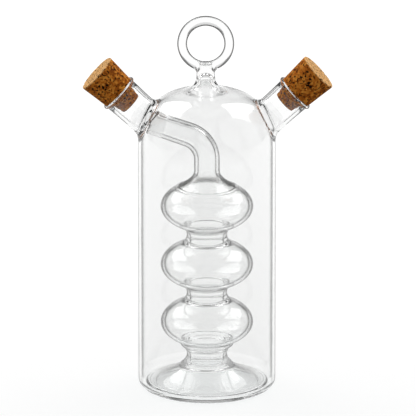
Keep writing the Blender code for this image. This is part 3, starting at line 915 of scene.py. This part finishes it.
CORK_LENGTH = 25.4 * MM
CORK_SIDES = 180
CORK_PROUD = {"left_cork": 15.8 * MM, "right_cork": 16.8 * MM}
CORK_STEPS = 130
CORK_PITS, PIT_DEPTH = 150, 0.55
CORK_BROWNS = ((0, (0.28, 0.070, 0.005)), (0.5, (0.58, 0.165, 0.014)), (1, (0.86, 0.34, 0.05)))
CORK_BARK = ((0.405, (0.02, 0.02, 0.012)), (0.416, (1, 1, 1)))
CUT_END_PAINTED_LIGHT, CUT_END_LIGHT_SHARE = (1.0, 0.6, 0.25, 1), 0.8
GRANULE_SIZE, SPECK_SIZE = 0.0013, 0.0014


def pressed_cork():
    """Orange-brown granules of several shades with dark bark in them, and painted light:
    the cut end is painted paler, as if lit.
    """
    material = bpy.data.materials.new("pressed_cork")
    material.use_nodes = True
    tree = material.node_tree
    new, link = tree.nodes.new, tree.links.new
    place = new("ShaderNodeTexCoord")
    granules = new("ShaderNodeTexVoronoi")
    granules.inputs["Scale"].default_value = 1 / GRANULE_SIZE
    link(place.outputs["Object"], granules.inputs["Vector"])
    each = new("ShaderNodeSeparateColor")
    link(granules.outputs["Color"], each.inputs["Color"])
    browns = shaded(tree, each.outputs["Red"], CORK_BROWNS)
    height = new("ShaderNodeSeparateXYZ")
    link(place.outputs["Object"], height.inputs[0])
    # Painted light: towards the cut end the colour is mixed with a pale one, as if lit from above.
    cut_end = (CORK_LENGTH - 0.7 * MM, CORK_LENGTH - 0.2 * MM)
    painted_light = new("ShaderNodeMix")
    painted_light.data_type = "RGBA"
    painted_light.inputs["B"].default_value = CUT_END_PAINTED_LIGHT
    link(spread(tree, height.outputs["Z"], *cut_end, 0.0, CUT_END_LIGHT_SHARE), painted_light.inputs["Factor"])
    link(browns, painted_light.inputs["A"])
    specks = cloudy(tree, place, SPECK_SIZE, 3.0)
    bark = shaded(tree, specks, CORK_BARK)
    shader = tree.nodes["Principled BSDF"]
    shader.inputs["Roughness"].default_value = 0.85
    shader.inputs["Specular IOR Level"].default_value = 0.08
    link(darkened(tree, painted_light.outputs["Result"], bark), shader.inputs["Base Color"])
    link(ruffled(tree, specks, 0.6, 0.0003), shader.inputs["Normal"])
    return material


def cork_outline(seated):
    """A cork from its seated end to its cut end. It narrows below the step at the spout's lip."""
    top = CORK_LENGTH
    outline = softened([
        (0.0, 0.0), (4.0 * MM, 0.0), (5.8 * MM, 0.0), (6.2 * MM, 0.4 * MM), (6.4 * MM, 2.5 * MM),
        (6.9 * MM, seated - 5.8 * MM), (7.5 * MM, seated - 4.2 * MM),
        (8.2 * MM, seated - 3.3 * MM), (9.2 * MM, seated - 2.3 * MM),
        (9.6 * MM, seated - 1.3 * MM), (9.75 * MM, seated - 0.4 * MM),
        (10.0 * MM, seated + 1.6 * MM), (10.3 * MM, seated + 6 * MM), (10.9 * MM, top - 3 * MM),
        (11.05 * MM, top - 0.9 * MM), (11.1 * MM, top - 0.35 * MM), (10.8 * MM, top),
        (10.3 * MM, top), (8.0 * MM, top), (5.0 * MM, top), (0.0, top),
    ])
    steps = np.linalg.norm(np.diff(outline, axis=0), axis=1)
    length = np.concatenate([[0], np.cumsum(steps)])
    marks = np.linspace(0, length[-1], CORK_STEPS)
    return np.column_stack([np.interp(marks, length, c) for c in outline.T])


cork_finish = pressed_cork()
dice = np.random.default_rng(7)
for node, body, side in (("left_cork", "left_stopper", -1), ("right_cork", "right_stopper", 1)):
    seated = CORK_LENGTH - CORK_PROUD[node]
    even = cork_outline(seated)
    where, normal = spun_rings(facing(even)[1:-1], CORK_SIDES)
    pits = np.zeros(where.shape[:2])
    for _ in range(CORK_PITS):
        pit = where[dice.integers(0, where.shape[0]), dice.integers(0, CORK_SIDES)]
        stretch = dice.uniform(0.5, 1.6, 3)
        size = dice.uniform(0.35, 1.0) * MM
        away = np.linalg.norm((where - pit) / stretch, axis=-1) / size
        pits = np.maximum(pits, np.maximum(1 - away**2, 0) * size * PIT_DEPTH)
    where = where - normal * pits[..., None]
    count = where.shape[0]
    ends = np.array([[0, 0, even[0, 1]], [0, 0, even[-1, 1]]])
    points = np.concatenate([where.reshape(-1, 3), ends])
    number = np.arange(count * CORK_SIDES).reshape(count, CORK_SIDES)
    faces = [number[:-1], np.roll(number[:-1], -1, 1), np.roll(number[1:], -1, 1), number[1:]]
    faces = np.stack(faces, -1).reshape(-1, 4).tolist()
    low, high = count * CORK_SIDES, count * CORK_SIDES + 1
    faces += [(low, b, a) for a, b in zip(number[0], np.roll(number[0], -1))]
    faces += [(high, a, b) for a, b in zip(number[-1], np.roll(number[-1], -1))]
    mesh = bpy.data.meshes.new(node + "_pressed")
    mesh.from_pydata(points.tolist(), [], faces)
    mesh.shade_smooth()
    mesh.materials.append(cork_finish)
    cork = bpy.data.objects.new(node + "_pressed", mesh)
    cork.matrix_world = leaning(side) @ Matrix.Translation((0, 0, SPOUT_REACH - seated))
    bpy.context.scene.collection.objects.link(cork)
    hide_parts(node)
    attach(cork, body)

# ---- The table, the lamps and the camera -------------------------------------------------------
# A plain white table in a ring of white panels with darker gaps between them, and a soft lamp at
# each side behind the bottle. The room is darker behind the camera, which only reflections show.
# That and the shade painted into the glass give the glass its grey edges on a white ground.

PANEL_COUNT = 8
GAP_SHADE = 0.35
AIM = (0, 0, 0.1)
LAMPS = (
    ("left_panel", (-0.72, 0.62, 1.08), (1.0, 0.9), 8.0),
    ("right_panel", (0.76, 0.55, 1.06), (0.95, 0.9), 7.6),
)
CAMERA_RISE = radians(16.5)
CAMERA_DISTANCE = 3.5
CAMERA_LENS = 557.7
CAMERA_SHIFT = (0.0026, 0.0029)
TABLE_HALF = 4
TABLE_SHADES = (0.315, 0.325)
TABLE_GLOW_SPAN, TABLE_GLOW = (0.1, 1.2), (0.72, 0.85)
TABLE_FRONT_SPAN, TABLE_FRONT_SHARE = (-0.5, -0.12), 0.2
OVERHEAD_SPAN, OVERHEAD_LIGHT = (0.25, 0.9), (0.736, 0.36)
ROOM_FRONT_SPAN, ROOM_FRONT_SHARE = (-0.5, 0.35), 0.3
GAP_SPAN = (-0.95, -0.2)
MATT_SHARE = 0.95


def panels_around(tree, x, y):
    """One where a white panel stands round the table, and darker in the gaps between panels."""
    turn = joined(tree, "ARCTAN2", x, y)
    repeat = tree.nodes.new("ShaderNodeMath")
    repeat.operation = "MULTIPLY"
    repeat.inputs[1].default_value = PANEL_COUNT
    tree.links.new(turn, repeat.inputs[0])
    wave = tree.nodes.new("ShaderNodeMath")
    wave.operation = "COSINE"
    tree.links.new(repeat.outputs[0], wave.inputs[0])
    return spread(tree, wave.outputs[0], *GAP_SPAN, GAP_SHADE, 1.0, smooth=True)


table_mesh = bpy.data.meshes.new("table_top")
table_signs = ((-1, -1), (1, -1), (1, 1), (-1, 1))
table_corners = [(x * TABLE_HALF, y * TABLE_HALF, 0) for x, y in table_signs]
table_mesh.from_pydata(table_corners, [], [(0, 1, 2, 3)])
table_top = bpy.data.objects.new("table_top", table_mesh)
bpy.context.scene.collection.objects.link(table_top)
table_paint = bpy.data.materials.new("table_paint")
table_paint.use_nodes = True
tree = table_paint.node_tree
new, link = tree.nodes.new, tree.links.new
flecks = new("ShaderNodeTexNoise")
flecks.inputs["Scale"].default_value = 8.0
place = new("ShaderNodeTexCoord")
away = new("ShaderNodeVectorMath")
away.operation = "LENGTH"
link(place.outputs["Object"], away.inputs[0])
split = new("ShaderNodeSeparateXYZ")
link(place.outputs["Object"], split.inputs[0])
far = spread(tree, away.outputs["Value"], *TABLE_GLOW_SPAN, *TABLE_GLOW)
near = spread(tree, split.outputs["Y"], *TABLE_FRONT_SPAN, TABLE_FRONT_SHARE, 1.0)
seen_plainly = for_rays(tree, "Is Camera Ray", "Is Transmission Ray")
glow = joined(tree, "MULTIPLY", far, joined(tree, "MAXIMUM", near, seen_plainly))
seen = for_rays(tree, "Is Glossy Ray", "Is Transmission Ray", "Is Camera Ray")
shader = tree.nodes["Principled BSDF"]
shader.inputs["Roughness"].default_value = 0.9
shader.inputs["Specular IOR Level"].default_value = 0.0
shader.inputs["Emission Color"].default_value = (1, 1, 1, 1)
link(spread(tree, flecks.outputs["Fac"], 0, 1, *TABLE_SHADES), shader.inputs["Base Color"])
link(joined(tree, "MULTIPLY", glow, seen), shader.inputs["Emission Strength"])
table_mesh.materials.append(table_paint)
table_top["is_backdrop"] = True

world = bpy.data.worlds.new("studio")
bpy.context.scene.world = world
world.use_nodes = True
tree = world.node_tree
tree.nodes.clear()
new, link = tree.nodes.new, tree.links.new
view = new("ShaderNodeTexCoord")
split = new("ShaderNodeSeparateXYZ")
link(view.outputs["Generated"], split.inputs[0])
overhead = spread(tree, split.outputs["Z"], *OVERHEAD_SPAN, *OVERHEAD_LIGHT, smooth=True)
walls = panels_around(tree, split.outputs["X"], split.outputs["Y"])
walls = joined(tree, "MULTIPLY", walls, overhead)
on_matt = spread(tree, for_rays(tree, "Is Diffuse Ray"), 0, 1, 1.0, MATT_SHARE, smooth=True)
walls = joined(tree, "MULTIPLY", walls, on_matt)
front = spread(tree, split.outputs["Y"], *ROOM_FRONT_SPAN, ROOM_FRONT_SHARE, 1.0, smooth=True)
not_darker = for_rays(tree, "Is Diffuse Ray", "Is Transmission Ray")
walls = joined(tree, "MULTIPLY", walls, joined(tree, "MAXIMUM", front, not_darker))
sky = new("ShaderNodeBackground")
sky.inputs["Color"].default_value = (1, 1, 1, 1)
link(joined(tree, "MAXIMUM", walls, for_rays(tree, "Is Camera Ray")), sky.inputs["Strength"])
out = new("ShaderNodeOutputWorld")
link(sky.outputs["Background"], out.inputs["Surface"])


def aimed(name, data, place):
    """Puts a lamp or the camera at a place, turned to the middle of the bottle."""
    held = bpy.data.objects.new(name, data)
    held.location = place
    held.rotation_euler = (Vector(AIM) - Vector(place)).to_track_quat("-Z", "Y").to_euler()
    bpy.context.scene.collection.objects.link(held)
    return held


for name, place, size, power in LAMPS:
    panel = bpy.data.lights.new(name, "AREA")
    panel.shape = "RECTANGLE"
    panel.size, panel.size_y = size
    panel.energy = power
    aimed(name + "_lamp", panel, place)

camera = bpy.data.cameras.new("camera")
camera.sensor_width = 36.0
camera.lens = CAMERA_LENS
camera.shift_x, camera.shift_y = CAMERA_SHIFT
camera.clip_end = 50
camera_way = Vector((0, -cos(CAMERA_RISE), sin(CAMERA_RISE)))
bpy.context.scene.camera = aimed("camera", camera, Vector(AIM) + CAMERA_DISTANCE * camera_way)

scene = bpy.context.scene
scene.view_settings.view_transform = "Standard"
scene.cycles.max_bounces = 48
scene.cycles.transmission_bounces = 48
scene.cycles.glossy_bounces = 12
scene.cycles.transparent_max_bounces = 64
scene.cycles.use_denoising = True
scene.cycles.caustics_reflective = False
scene.cycles.caustics_refractive = True

low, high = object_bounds()
